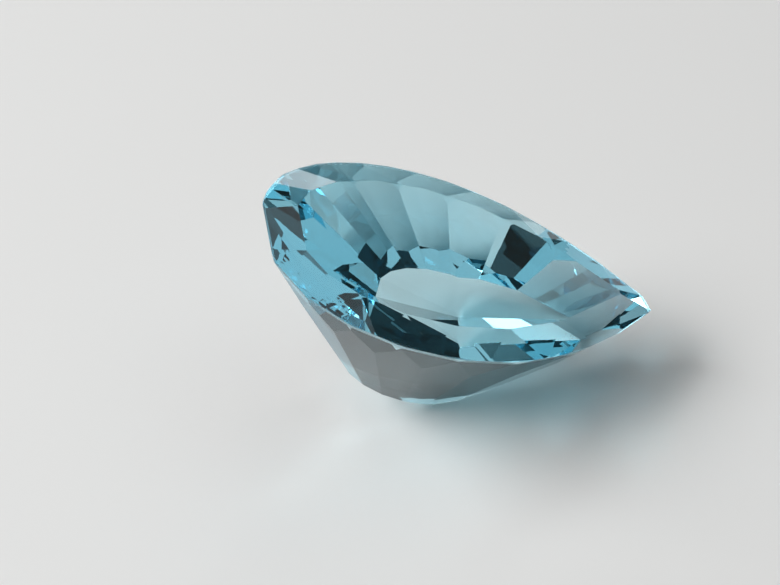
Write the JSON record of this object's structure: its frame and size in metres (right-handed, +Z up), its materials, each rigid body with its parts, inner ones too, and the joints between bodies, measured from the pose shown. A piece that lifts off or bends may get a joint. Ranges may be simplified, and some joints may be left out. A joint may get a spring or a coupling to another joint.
{
  "type": "topaz gemstone",
  "caption": "Loose pear cut blue topaz with a wide flat table, a low crown and a deep faceted pavilion, lying tilted on one pavilion facet.",
  "frame": {"origin": "centre of the bounding box's bottom, on the ground the stone lies on", "axes": "+Z up as the stone lies; +X along its longest extent, from the round head to the tip as seen from above; the resting facet faces -Z"},
  "size_m": [0.0364, 0.0214, 0.0241],
  "materials": {
    "topaz": "polished"
  },
  "bodies": {
    "root": {"topaz": "topaz"}
  },
  "joints": []
}
